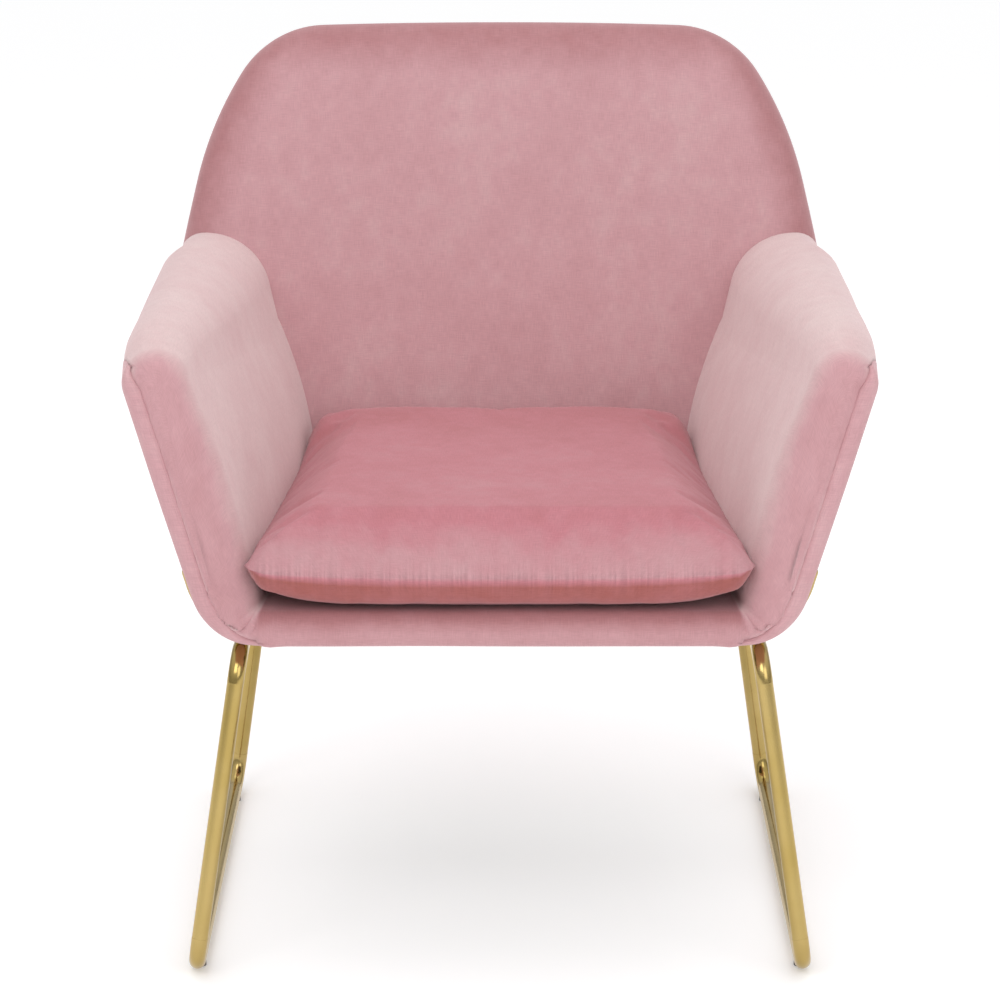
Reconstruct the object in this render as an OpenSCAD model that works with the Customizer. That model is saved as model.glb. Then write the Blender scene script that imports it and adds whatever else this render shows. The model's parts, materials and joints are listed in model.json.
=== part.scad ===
// Upholstered tub armchair on a bent-tube sled base. The chair faces -Y and stands on Z = 0.
// Left and right are the sitter's: left is +X. The origin is under the middle of the chair.

/* [Shell] */
// Height of the top of the backrest
overall_h = 830; // [790:1:860]
// Height of the flat underside of the shell
shell_bottom = 331; // [310:1:340]
// Half width of the flat underside, where the rounded lower corners begin
bottom_half = 224; // [215:1:235]
// Radius of the rounded lower corners
corner_r = 63; // [55:1:70]
// Lean of the shell's outer sides, in degrees from upright
side_lean = 16.6; // [12:0.1:19]
// Front face of the arms, from the centre of the chair
arm_front = -322; // [-330:1:-310]

/* [Arms] */
// Height of the top of the arms at their front
arm_top = 620; // [600:1:630]
// Rise of the arm's top for each millimetre towards the back
arm_rise = 0.008; // [0:0.001:0.03]
// Half width between the arms at their front, 400 above the floor
seat_half = 238; // [234:1:244]
// How far an arm's inner face closes in for each millimetre towards the back
toe_in = 0.08; // [0.04:0.01:0.1]
// Outward slope of an arm's inner face for each millimetre up
inner_slope = 0.27; // [0.2:0.01:0.28]
// Radius of the arm's rolled outer top edge
arm_roll = 28; // [24:1:28]
// Largest radius of the arm's inner top edge, which widens towards the back
inner_roll_max = 60; // [40:1:64]
// Radius of the arm's front edges
front_roll = 16; // [8:1:20]
// Distance of the arm seam from the outer side
seam_inset = 20; // [16:1:30]

/* [Backrest] */
// Front face of the backrest on the centre line, 440 above the floor
back_front = 161; // [158:1:175]
// Backward slope of the backrest for each millimetre up
back_slope = 0.31; // [0.25:0.01:0.36]
// Thickness of the padded backrest
back_t = 65; // [60:1:75]
// How far the sides of the backrest come forward of its middle
back_wrap = 20; // [0:1:24]
// Radius of the backrest's upper corners
top_r = 105; // [90:1:112]
// Half width of the flat part of the backrest's top
top_half = 187; // [175:1:192]
// Radius of the backrest's swelling sides below the corners
upper_side_r = 349; // [300:1:360]
// Lean of the backrest's sides above the arms, in degrees from upright
upper_lean = 13.3; // [12:0.1:15]

/* [Seat] */
// Thickness of the timber seat rails
rail_t = 18; // [15:1:18]
// Thickness of the plywood panels in the arms and the backrest
ply_t = 15; // [9:1:18]
// Thickness of the upholstery fabric
fabric_t = 1.2; // [0.8:0.1:1.5]
// Height of the covered seat deck
deck_z = 362; // [360:1:366]
// Width of the elastic webbing
webbing_w = 50; // [40:1:55]

/* [Cushion] */
// Front edge of the loose cushion, from the centre of the chair
cushion_front = -338; // [-342:0.5:-330]
// Back edge of the loose cushion
cushion_back = 133; // [128:1:134]
// Height of the cushion's side seam
cushion_seam_z = 402; // [398:1:406]
// Height of the cushion's crown
cushion_top_z = 453; // [446:1:456]
// Length of the zip in the cushion's back edge
zip_len = 340; // [280:5:345]

/* [Base] */
// Diameter of the leg tube
tube_d = 16; // [14:1:18]
// Diameter of the cradle tubes that hug the shell's lower corners
cradle_d = 12; // [10:1:13]
// Half distance between the runners on the floor
foot_half = 290; // [280:1:300]
// Half distance between the top rails of the leg loops
rail_half = 245; // [240:1:250]
// Distance between the tops of a loop's front and rear legs
loop_len = 475; // [470:1:480]
// How far each leg runs outwards from its top to its foot, in side view
splay = 34; // [20:1:38]
// Bend radius of the leg tube's centre line at the floor
foot_bend_r = 30; // [26:1:36]
// Bend radius of the leg tube's centre line at the top rail
rail_bend_r = 28; // [24:1:32]
// Tops of the front legs, from the centre of the chair
front_leg_y = -294; // [-298:1:-290]
// Height of the runners above the floor, on their glides
glide_h = 2; // [1:0.5:3]

/* [Hidden] */

velvet = [0.78, 0.57, 0.60];
gold = [0.80, 0.65, 0.36];
timber = [0.80, 0.66, 0.46];
foam_white = [0.93, 0.91, 0.85];
steel_grey = [0.72, 0.73, 0.75];
black = [0.08, 0.08, 0.08];

gap = 0.3;
far = 900;
// The frame and the foam start this far inside the shell's outline
skin_in = fabric_t + 0.4;
// The timber and the arm foam stand a little further in, clear of the cover's flat facets
core_in = fabric_t + 1.6;

// Heights of the seat's layers
rail_z = shell_bottom + skin_in;
web_z = rail_z + rail_t;
web_t = 1;
pad_z = web_z + 2 * web_t;
pad_top = deck_z - fabric_t - 0.1;

// Seat frame in plan
pad_front = 18;
frame_front = arm_front + pad_front;
side_back = 150;
panel_back = 120;
ledge_back = 116;
rear_rail_y = 102;
rear_rail_len = 68;
front_rail_len = 48;
rail_inner = 165;
deck_back = 120;
dowel_d = 8;
dowel_len = 40;
strap_xs = [-111, -37, 37, 111];
strap_ys = [-150, -80, -10, 60];
strap_half = 185;
dust_half = 219;
hem_x = 220;
dust_back = 158;
hem_gap = 2;
dust_t = 1;

// Side line and rounded corner of the shell
slope = tan(side_lean);
corner_z = shell_bottom + corner_r;
tangent_x = bottom_half + corner_r * cos(side_lean);
tangent_z = corner_z - corner_r * sin(side_lean);
ply_top = arm_top - arm_roll - 4;

// Base: the cradle tubes lie against the shell and the top rails lie against the cradle tubes
cradle_line_r = corner_r + cradle_d / 2;
cradle_end = 13;
tip_lap = 1.5;
tip_d = cradle_d - 0.2;
floor_z = glide_h + tube_d / 2;
loop_top = corner_z
    - sqrt(pow(corner_r + cradle_d + tube_d / 2, 2) - pow(rail_half - bottom_half, 2));
loop_lean = atan((foot_half - rail_half) / (loop_top - floor_z));
loop_h = (loop_top - floor_z) / cos(loop_lean);
leg_lean = atan(splay / loop_h);
foot_reach = foot_bend_r * tan(45 + leg_lean / 2);
rail_reach = rail_bend_r * tan(45 - leg_lean / 2);
cradle_in = 32;
cradle_ys = [front_leg_y + cradle_in, front_leg_y + loop_len - cradle_in];
plate_len = 55;
plate_w = 38;
plate_t = 3;
bolt_x = 195;
bolt_off = 38;
bolt_ys = [cradle_ys[0] + bolt_off, cradle_ys[1] - bolt_off];
bolt_d = 6;
bolt_head_d = 10;
bolt_head_h = 4;
washer_d = 14;
washer_t = 1.2;
bolt_len = 20;
nut_d = 8;
nut_len = 12;
nut_flange_d = 17;
nut_flange_t = 1.2;
glide_d = 14;
glide_in = foot_reach - splay + 8;
glide_ys = [front_leg_y + glide_in, front_leg_y + loop_len - glide_in];

// Half width of the shell at height z, drawn in by d
function lower_half(z, d) = z < tangent_z
    ? bottom_half + sqrt(max(0, pow(corner_r - d, 2) - pow(corner_z - z, 2)))
    : tangent_x + slope * (z - tangent_z) - d / cos(side_lean);
// Above the arms it swells in a long arc that runs into the upper corner at corner_turn
corner_turn = 33;
top_z0 = overall_h - top_r;
top_z = top_z0 + top_r * sin(corner_turn);
swell_x = top_half - (upper_side_r - top_r) * cos(corner_turn);
swell_z = top_z0 - (upper_side_r - top_r) * sin(corner_turn);
swell_low = swell_z + upper_side_r * sin(upper_lean);
function upper_half(z, d) = z > top_z
    ? top_half + sqrt(max(0, pow(top_r - d, 2) - pow(z - top_z0, 2)))
    : z > swell_low ? swell_x + sqrt(pow(upper_side_r - d, 2) - pow(z - swell_z, 2))
    : swell_x + upper_side_r * cos(upper_lean) + tan(upper_lean) * (swell_low - z) - d / cos(upper_lean);
function smooth_min(a, b, k) = (a + b - sqrt((a - b) * (a - b) + k * k)) / 2;
function back_half(z, d) = z < tangent_z
    ? lower_half(z, d)
    : z > top_z ? upper_half(z, d) : smooth_min(lower_half(z, d), upper_half(z, d), 9);

// Backrest: a level section is a long curved slab with round ends
shoulder = 345;
crest_z = overall_h - back_t / 2;
function wrap(x) = back_wrap * pow(x / shoulder, 2);
function back_mid(z) = back_front + back_t / 2 + back_slope * (z - 440);
function half_thick(z, d) = z < crest_z
    ? back_t / 2 - d
    : sqrt(max(1, pow(back_t / 2 - d, 2) - pow(z - crest_z, 2)));
// Half of the level section from one side to the other: s is -1 round the front, 1 round the back
function back_path(z, d, s) = let (h = half_thick(z, d), w = back_half(z, d) - h) concat(
    [for (a = [1, 30, 60]) [s * (w + h * cos(a)), back_mid(z) - wrap(w) + s * h * sin(a), z]],
    [for (i = [3:-1:-3]) let (x = s * w * i / 3) [x, back_mid(z) - wrap(x) + s * h, z]],
    [for (a = [60, 30, 1]) [-s * (w + h * cos(a)), back_mid(z) - wrap(w) + s * h * sin(a), z]]);
function back_levels(d) = concat(
    [470, 550, 576, 604, 670, 705, 745],
    [for (a = [corner_turn + 1, 50]) top_z0 + (top_r - d) * sin(a)],
    [for (a = [15, 35, 55, 75, 89]) crest_z + (back_t / 2 - d) * sin(a)]);
function corner_levels(d) = [for (a = [0, 25, 50, 73]) corner_z - (corner_r - d) * cos(a)];

// A curved sheet or pad between two grids of points, outer and inner, with rows of equal length
module patch(outer, inner) {
    m = len(outer);
    n = len(outer[0]);
    size = m * n;
    quads = [for (j = [0:m - 2], i = [0:n - 2]) let (a = j * n + i) [a, a + n, a + n + 1, a + 1]];
    rim = concat([for (i = [0:n - 2]) i], [for (j = [0:m - 2]) j * n + n - 1],
        [for (i = [n - 1:-1:1]) (m - 1) * n + i], [for (j = [m - 1:-1:1]) j * n]);
    faces = concat(
        [for (q = quads) each [[q[0], q[1], q[2]], [q[0], q[2], q[3]]]],
        [for (q = quads) each [[q[2] + size, q[1] + size, q[0] + size],
            [q[3] + size, q[2] + size, q[0] + size]]],
        [for (k = [0:len(rim) - 1]) let (a = rim[k], b = rim[(k + 1) % len(rim)])
            each [[a, b, b + size], [a, b + size, a + size]]]);
    polyhedron(concat([for (r = outer) each r], [for (r = inner) each r]), faces, convexity = 8);
}

// A solid through rings that all have the same number of points, from the lowest ring up
module loft(rings) {
    n = len(rings[0]);
    m = len(rings);
    sides = [for (j = [0:m - 2], i = [0:n - 1]) let (a = j * n + i, b = j * n + (i + 1) % n)
        each [[a, a + n, b + n], [a, b + n, b]]];
    caps = [[for (i = [0:n - 1]) i], [for (i = [n - 1:-1:0]) (m - 1) * n + i]];
    polyhedron([for (r = rings) each r], concat(sides, caps), convexity = 8);
}

// Arm: a leaning slab with a rolled top, standing on the shell's rounded corner.
// A section at y is drawn in by d. Its cover has a seam that runs seam_inset in from the outer side.
// Points of a section are counted by k: up the inner face and over the top, then down the outer side.
inner_lean = atan(inner_slope);
seam_turn = acos(1 - seam_inset / arm_roll) - side_lean;
front_seam_end = 2;
path_n = 12;
function inner_x(y, z) = seat_half + inner_slope * (z - 400) - toe_in * (y - arm_front);
function top_at(y) = arm_top + arm_rise * (y - arm_front);
function roll_z(y) = top_at(y) - arm_roll;
function outer_centre(y) = lower_half(roll_z(y), 0) - arm_roll / cos(side_lean);
function inner_roll(y) = min(inner_roll_max,
    (outer_centre(y) - inner_x(y, top_at(y))) / (1 / cos(inner_lean) - inner_slope));
function turn(x, z, r, a) = [x + r * cos(a), z + r * sin(a)];

// Inner face and top, from the seat up to the seam
function inner_point(k, y, d, low) = let (r = inner_roll(y), z = top_at(y) - r)
    k < 3 ? let (h = [low, deck_z + 3, 440][k]) [inner_x(y, h) + d / cos(inner_lean), h]
    : k < 8 ? turn(inner_x(y, z) + r / cos(inner_lean), z, r - d,
        180 - inner_lean - (90 - inner_lean) * (k - 3) / 4.2)
    : turn(outer_centre(y), roll_z(y), arm_roll - d, 90 - (90 - seam_turn) * (k - 7.5) / 3.5);

// Outer face, from the seam down round the lower corner to its hem
function outer_point(k, y, d) = let (z = roll_z(y), r = arm_roll - d)
    k < 4 ? turn(outer_centre(y), z, r,
        seam_turn - (seam_turn + side_lean) * k / 3)
    : k < 6 ? let (h = [510, 430][k - 4]) [lower_half(h, d), h]
    : k < 11 ? let (a = (90 - side_lean) - (80 - side_lean) * (k - 6) / 4)
        [bottom_half + (corner_r - d) * sin(a), corner_z - (corner_r - d) * cos(a)]
    : [hem_x, shell_bottom + d];

// How far in from the outline the seam runs on the front face, and the radius of the edge there
function seam_depth(k) = k < 6 ? seam_inset : seam_inset - (seam_inset - front_seam_end) * (k - 5) / 6;
function outer_edge(k) = min(front_roll, 0.8 * seam_depth(k));
function inner_edge(k) = [1, 4, front_roll][min(k, 2)];

// Rows of points: the front face's seam, the rounded front edge, the length of the arm, its back end
turns = [0, 30, 60, 90];
arm_gap = 1;
function arm_end(p) = back_mid(p[1]) - wrap(p[0]) - back_t / 2 - arm_gap;
function side_end(p) = back_mid(p[1]) - wrap(p[0]) - 10;
function seam_row(d) = [for (k = [0:path_n - 1]) let (p = outer_point(k, arm_front, seam_depth(k)))
    [p[0], arm_front + d, p[1]]];
function reversed(v) = [for (i = [len(v) - 1:-1:0]) v[i]];
function arm_rows(d, low) = concat([reversed(seam_row(d))],
    [for (a = turns) [for (k = [0:path_n - 1]) let (e = inner_edge(k),
            p = inner_point(k, arm_front, d + max(0, e - d) * (1 - sin(a)), low))
        [p[0], arm_front + d + max(0, e - d) * (1 - cos(a)), p[1]]]],
    [for (y = [frame_front - 1, -100]) [for (k = [0:path_n - 1]) let (p = inner_point(k, y, d, pad_z))
        [p[0], y, p[1]]]],
    [[for (k = [0:path_n - 1]) let (p = inner_point(k, panel_back, d, pad_z)) [p[0], arm_end(p), p[1]]]]);
function side_rows(d) = concat([seam_row(d)],
    [for (a = turns) [for (k = [0:path_n - 1]) let (e = outer_edge(k),
            p = outer_point(k, arm_front, d + max(0, e - d) * (1 - sin(a))))
        [p[0], arm_front + d + max(0, e - d) * (1 - cos(a)), p[1]]]],
    [for (y = [frame_front - 1, -100]) [for (k = [0:path_n - 1]) let (p = outer_point(k, y, d))
        [p[0], y, p[1]]]],
    [[for (k = [0:path_n - 1]) let (p = outer_point(k, panel_back, d)) [p[0], side_end(p), p[1]]]]);

module both_sides() {
    children();
    mirror([1, 0, 0]) children();
}

// ---- Base ----
module tube_bend(d, r, angle) {
    rotate_extrude(angle = angle, $fn = 64)
        translate([r, 0])
            circle(d = d, $fn = 32);
}

module tube(d, length) {
    cylinder(d = d, h = length, $fn = 32);
}

// One closed loop, drawn upright in the YZ plane and then leaned inwards. The straight tubes are
// a touch thinner and run bend_lap into the bends.
bend_lap = 1.5;
straight_d = tube_d - 0.3;
module leg_loop() {
    color(gold)
        translate([foot_half, front_leg_y + loop_len / 2, floor_z])
            rotate([0, -loop_lean, 0])
                rotate([90, 0, 90]) {
                    level_tube(0, loop_len / 2 + splay - foot_reach + bend_lap);
                    level_tube(loop_h, loop_len / 2 - rail_reach + bend_lap);
                    for (m = [0, 1])
                        mirror([m, 0, 0]) half_loop();
                }
}
module level_tube(height, half) {
    translate([-half, height, 0]) rotate([0, 90, 0]) tube(straight_d, 2 * half);
}
module half_loop() {
    translate([loop_len / 2 + splay - foot_reach, foot_bend_r, 0])
        rotate(-90) tube_bend(tube_d, foot_bend_r, 90 + leg_lean);
    translate([loop_len / 2 - rail_reach, loop_h - rail_bend_r, 0])
        mirror([0, 1, 0]) rotate(-90) tube_bend(tube_d, rail_bend_r, 90 - leg_lean);
    translate([loop_len / 2 + splay, 0, 0])
        rotate(leg_lean)
            translate([0, foot_reach - bend_lap, 0]) rotate([-90, 0, 0])
                tube(straight_d, loop_h / cos(leg_lean) - foot_reach - rail_reach + 2 * bend_lap);
}
module left_leg_loop() { leg_loop(); }
module right_leg_loop() { mirror([1, 0, 0]) leg_loop(); }

// A cradle tube, drawn flat in the XY plane and then stood up
module cradle_line() {
    rotate([90, 0, 0]) {
        translate([-bottom_half, shell_bottom - cradle_d / 2, 0])
            rotate([0, 90, 0]) tube(cradle_d, 2 * bottom_half);
        both_sides()
            translate([bottom_half, corner_z, 0]) {
                rotate(-90) tube_bend(cradle_d, cradle_line_r, 90 - side_lean);
                rotate(-side_lean)
                    translate([cradle_line_r, -tip_lap, 0]) rotate([-90, 0, 0]) {
                        tube(tip_d, cradle_end + tip_lap);
                        translate([0, 0, cradle_end + tip_lap]) sphere(d = tip_d, $fn = 32);
                    }
            }
    }
}
module front_cradle_tube() { color(gold) translate([0, cradle_ys[0], 0]) cradle_line(); }
module rear_cradle_tube() { color(gold) translate([0, cradle_ys[1], 0]) cradle_line(); }

// Places its children at the four bolts, with local +Y towards the nearer cradle tube
module at_bolts() {
    for (s = [-1, 1], k = [0, 1])
        translate([s * bolt_x, bolt_ys[k], 0]) rotate(180 * k) children();
}

module mounting_plates() {
    color(gold)
        difference() {
            at_bolts()
                translate([-plate_w / 2, -bolt_off, shell_bottom - plate_t])
                    difference() {
                        cube([plate_w, plate_len, plate_t]);
                        translate([plate_w / 2, bolt_off, -1]) cylinder(d = bolt_d + 0.6, h = 5, $fn = 32);
                    }
            for (y = cradle_ys)
                translate([-far / 2, y, shell_bottom - cradle_d / 2]) rotate([0, 90, 0]) tube(cradle_d, far);
        }
}

module floor_glides() {
    color(black)
        both_sides()
            for (y = glide_ys)
                difference() {
                    translate([foot_half, y, 0]) cylinder(d = glide_d, h = glide_h + 3, $fn = 32);
                    translate([foot_half, y - glide_d, floor_z])
                        rotate([-90, 0, 0]) tube(tube_d, 2 * glide_d);
                }
}

module shell_bolts() {
    color(steel_grey)
        at_bolts()
            translate([0, 0, shell_bottom - plate_t - washer_t]) {
                cylinder(d = bolt_d, h = bolt_len + washer_t, $fn = 32);
                mirror([0, 0, 1])
                    difference() {
                        cylinder(d = bolt_head_d, h = bolt_head_h, $fn = 32);
                        translate([0, 0, bolt_head_h / 2]) cylinder(d = 5, h = bolt_head_h, $fn = 6);
                    }
            }
}

module bolt_washers() {
    color(steel_grey)
        at_bolts()
            translate([0, 0, shell_bottom - plate_t - washer_t])
                difference() {
                    cylinder(d = washer_d, h = washer_t, $fn = 32);
                    translate([0, 0, -1]) cylinder(d = bolt_d + 0.4, h = 4, $fn = 32);
                }
}

module tee_nuts() {
    color(steel_grey)
        at_bolts()
            difference() {
                union() {
                    translate([0, 0, web_z - nut_len]) cylinder(d = nut_d, h = nut_len, $fn = 32);
                    translate([0, 0, web_z]) cylinder(d = nut_flange_d, h = nut_flange_t, $fn = 32);
                }
                cylinder(d = bolt_d, h = far, $fn = 32);
            }
}

// ---- Seat frame ----
module dowel_group(clearance) {
    ys = [frame_front + 12, frame_front + front_rail_len - 12,
        rear_rail_y + 14, side_back - 10];
    both_sides()
        for (y = ys)
            translate([rail_inner - dowel_len / 2, y, rail_z + rail_t / 2])
                rotate([0, 90, 0]) cylinder(d = dowel_d, h = dowel_len + clearance, $fn = 32);
}
module rail_dowels() { color([0.86, 0.74, 0.55]) dowel_group(0); }

module cross_rail(y, length) {
    color(timber)
        difference() {
            translate([-rail_inner, y, rail_z]) cube([2 * rail_inner, length, rail_t]);
            dowel_group(0);
        }
}
module front_rail() { cross_rail(frame_front, front_rail_len); }
module rear_rail() { cross_rail(rear_rail_y, rear_rail_len); }

// Rail with a round outer corner and a ledge that carries the arm panel
module side_rail() {
    r = corner_r - core_in;
    ledge = [bottom_half + r * cos(side_lean), corner_z - r * sin(side_lean)];
    inner = [ledge[0] - ply_t * cos(side_lean), ledge[1] + ply_t * sin(side_lean)];
    color(timber)
        difference() {
            translate([0, side_back, 0])
                rotate([90, 0, 0])
                    linear_extrude(side_back - frame_front)
                        polygon(concat(
                            [[rail_inner, rail_z]],
                            [for (k = [0:6]) let (a = (90 - side_lean) * k / 6)
                                [bottom_half + r * sin(a), corner_z - r * cos(a)]],
                            [inner, [inner[0] - slope * (inner[1] - web_z), web_z], [rail_inner, web_z]]));
            dowel_group(0);
            at_bolts() cylinder(d = bolt_d + 0.6, h = far, $fn = 32);
            at_bolts() translate([0, 0, web_z - nut_len]) cylinder(d = nut_d, h = far, $fn = 32);
            translate([0, ledge_back, web_z]) cube(far);
        }
}
module left_side_rail() { side_rail(); }
module right_side_rail() { mirror([1, 0, 0]) side_rail(); }

module arm_panel() {
    r = corner_r - core_in;
    low = [bottom_half + r * cos(side_lean), corner_z - r * sin(side_lean)];
    inner = [low[0] - ply_t * cos(side_lean), low[1] + ply_t * sin(side_lean)];
    color(timber)
        translate([0, panel_back, 0])
            rotate([90, 0, 0])
                linear_extrude(panel_back - frame_front)
                    polygon([low, [low[0] + slope * (ply_top - low[1]), ply_top],
                        [inner[0] + slope * (ply_top - inner[1]), ply_top], inner]);
}
module left_arm_panel() { arm_panel(); }
module right_arm_panel() { mirror([1, 0, 0]) arm_panel(); }

// Bent plywood panel that follows the back of the backrest
module back_panel() {
    inset = back_t / 2 + 2;
    levels = [rail_z, tangent_z, 470, 580, 690, top_z, 800 - skin_in];
    color(timber)
        loft([for (z = levels) let (w = back_half(min(z, 790), 0) - inset) concat(
            [for (i = [-4:4]) let (x = w * i / 4)
                [x, back_mid(z) - wrap(x) + back_t / 2 - core_in - ply_t, z]],
            [for (i = [4:-1:-4]) let (x = w * i / 4)
                [x, back_mid(z) - wrap(x) + back_t / 2 - core_in, z]])]);
}

module long_webbing() {
    color(black)
        for (x = strap_xs)
            translate([x - webbing_w / 2, frame_front + 5, web_z])
                cube([webbing_w, rear_rail_y + 15 - frame_front, web_t]);
}
module cross_webbing() {
    color(black)
        for (y = strap_ys)
            translate([-strap_half, y - webbing_w / 2, web_z + web_t])
                cube([2 * strap_half, webbing_w, web_t]);
}

// ---- Padding ----
// A flat layer between the arms, as wide as the seat is at its lower face
module deck_layer(y0, y1, z0, z1) {
    translate([0, 0, z0])
        linear_extrude(z1 - z0)
            polygon([for (s = [-1, 1], y = s < 0 ? [y0, y1] : [y1, y0]) [s * (inner_x(y, z0) - 2 * gap), y]]);
}
module deck_pad() { color(foam_white) deck_layer(frame_front, deck_back, pad_z, pad_top); }
module deck_cover() { color(velvet) deck_layer(frame_front, deck_back, deck_z - fabric_t, deck_z); }

// Side view of the rounded front edge, drawn in by d
module front_profile(d) {
    r = 9;
    translate([arm_front + r, shell_bottom + d]) square([60, deck_z - shell_bottom - 2 * d]);
    translate([arm_front + d, shell_bottom + r]) square([60, deck_z - shell_bottom - 2 * r]);
    for (z = [shell_bottom + r, deck_z - r])
        translate([arm_front + r, z]) circle(r = r - d, $fn = 32);
}
module front_edge(d) {
    half = inner_x(arm_front, shell_bottom) - gap;
    rotate([90, 0, 90])
        linear_extrude(2 * half, center = true)
            intersection() {
                front_profile(d);
                translate([arm_front - 1, 0]) square([1 + pad_front - gap, far]);
            }
}
module front_rail_pad() { color(foam_white) front_edge(skin_in); }
module front_rail_cover() {
    color(velvet)
        difference() {
            front_edge(0);
            front_edge(fabric_t);
            translate([-far / 2, arm_front + pad_front - 2 * gap, shell_bottom + fabric_t])
                cube([far, 10, deck_z - shell_bottom - 2 * fabric_t]);
        }
}

// The foam lies between the arm's cover and the inner side and top of its panel
panel_low = [bottom_half + (corner_r - core_in) * cos(side_lean),
    corner_z - (corner_r - core_in) * sin(side_lean)];
panel_in = [panel_low[0] - ply_t * cos(side_lean) - gap, panel_low[1] + ply_t * sin(side_lean)];
function panel_point(k) = let (top = ply_top + gap)
    k < 8 ? let (z = [pad_z, deck_z + 4, 430, 500, 530, 550, 565, top][k])
        [panel_in[0] + slope * (z - panel_in[1]), z]
    : [panel_in[0] + slope * (top - panel_in[1]) + (ply_t - 1) * (k - 7) / 4, top];
module arm_foam() {
    rows = arm_rows(core_in, pad_z);
    last = len(rows) - 1;
    color(foam_white)
        patch([for (r = rows) [for (p = r) [p[0], p[1], max(p[2], pad_z)]]],
            [for (j = [0:last]) [for (k = [0:path_n - 1]) let (p = panel_point(k))
                [p[0], j == last ? arm_end(p) : frame_front - gap + max(0, j - 4) * 60, p[1]]]]);
}
module left_arm_foam() { arm_foam(); }
module right_arm_foam() { mirror([1, 0, 0]) arm_foam(); }

function inner_rows(d) = [for (z = concat([pad_z, tangent_z], back_levels(d))) back_path(z, d, -1)];
module back_foam() {
    rows = inner_rows(skin_in);
    last = len(rows) - 1;
    panel_y = back_t / 2 - core_in - ply_t - arm_gap;
    color(foam_white)
        patch(rows,
            [for (j = [0:last]) let (z = pad_z + (790 - pad_z) * j / last, w = back_half(z, 0) - 40)
                [for (t = [-6:6]) let (x = w * t / 6) [x, back_mid(z) - wrap(x) + panel_y, z]]]);
}

// ---- Covers ----
module arm_cover() {
    color(velvet)
        patch(arm_rows(0, shell_bottom), arm_rows(fabric_t, shell_bottom + fabric_t));
}
module left_arm_cover() { arm_cover(); }
module right_arm_cover() { mirror([1, 0, 0]) arm_cover(); }

module side_cover() { color(velvet) patch(side_rows(0), side_rows(fabric_t)); }
module left_side_cover() { side_cover(); }
module right_side_cover() { mirror([1, 0, 0]) side_cover(); }

module inner_back_cover() { color(velvet) patch(inner_rows(0), inner_rows(fabric_t)); }

// The outer back turns under the shell with a hem
hem_in = 0.97;
function outer_rows(d) = concat(
    [[for (p = back_path(shell_bottom + d, d, 1)) [hem_in * p[0], dust_back + hem_gap, p[2]]]],
    [for (z = concat(corner_levels(d), back_levels(d))) back_path(z, d, 1)]);
module outer_back_cover() { color(velvet) patch(outer_rows(0), outer_rows(fabric_t)); }

module dust_cover() {
    color(black)
        difference() {
            translate([-dust_half, frame_front, shell_bottom])
                cube([2 * dust_half, dust_back - frame_front, dust_t]);
            at_bolts() translate([0, 0, shell_bottom - 1]) cylinder(d = bolt_d + 1, h = 3, $fn = 32);
        }
}

// ---- Loose cushion ----
cushion_gap = 3;
cushion_r = 15;
seat_gap = 0.3;
function cushion_corner(y, s, a0, in) = [for (a = [a0:22.5:a0 + 90]) let (r = max(4, cushion_r - in / 2))
    [s * (inner_x(y, cushion_seam_z) - cushion_gap - in - r) + r * cos(a),
        y + (y < 0 ? in + r : -in - r) + r * sin(a)]];
function cushion_ring(z, in) = [for (p = concat(
        cushion_corner(cushion_front, 1, -90, in), cushion_corner(cushion_back, 1, 0, in),
        cushion_corner(cushion_back, -1, 90, in), cushion_corner(cushion_front, -1, 180, in)))
    [p[0], p[1], z]];
// Height and inset of each ring from the underside, through the seam, to the crown
cushion_rings = [
    [deck_z + seat_gap, 38], [369, 14], [380, 4.5], [cushion_seam_z, 0],
    [420, 1.5], [434, 5], [445, 14], [cushion_top_z, 34]
];
module cushion_volume(d) {
    last = len(cushion_rings) - 1;
    loft([for (i = [0:last]) let (r = cushion_rings[i])
        cushion_ring(r[0] + (i == 0 ? d : i == last ? -d : 0), r[1] + d)]);
}
module cushion_skin() {
    difference() {
        cushion_volume(0);
        cushion_volume(fabric_t);
    }
}
module cushion_foam() { color(foam_white) cushion_volume(skin_in); }
module cushion_top_cover() {
    color([0.76, 0.50, 0.53])
        intersection() {
            cushion_skin();
            translate([-far, -far, cushion_seam_z]) cube(2 * far);
        }
}
module cushion_bottom_cover() {
    color([0.72, 0.44, 0.47])
        intersection() {
            cushion_skin();
            translate([-far, -far, cushion_seam_z - 2 * far - gap / 3]) cube(2 * far);
        }
}

zip_t = 1.6;
zip_h = 7;
slider_size = [8, 3, 11];
module cushion_zip() {
    color([0.66, 0.42, 0.45])
        translate([-zip_len / 2, cushion_back, cushion_seam_z - zip_h / 2]) cube([zip_len, zip_t, zip_h]);
}
module zip_slider() {
    color(gold)
        translate([-zip_len / 2 + 4, cushion_back + zip_t + gap, cushion_seam_z - zip_h]) {
            cube(slider_size);
            difference() {
                translate([2, 1, -12]) cube([4, 1, 13]);
                translate([4, 0, -9]) rotate([-90, 0, 0]) cylinder(d = 2, h = 4, $fn = 24);
            }
        }
}

left_leg_loop();
right_leg_loop();
front_cradle_tube();
rear_cradle_tube();
mounting_plates();
floor_glides();
shell_bolts();
bolt_washers();
tee_nuts();
front_rail();
rear_rail();
left_side_rail();
right_side_rail();
rail_dowels();
left_arm_panel();
right_arm_panel();
back_panel();
long_webbing();
cross_webbing();
deck_pad();
front_rail_pad();
left_arm_foam();
right_arm_foam();
back_foam();
deck_cover();
front_rail_cover();
left_arm_cover();
right_arm_cover();
left_side_cover();
right_side_cover();
inner_back_cover();
outer_back_cover();
dust_cover();
cushion_foam();
cushion_top_cover();
cushion_bottom_cover();
cushion_zip();
zip_slider();
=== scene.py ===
import json
import math

import bpy
import numpy as np
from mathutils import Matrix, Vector, noise


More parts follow.
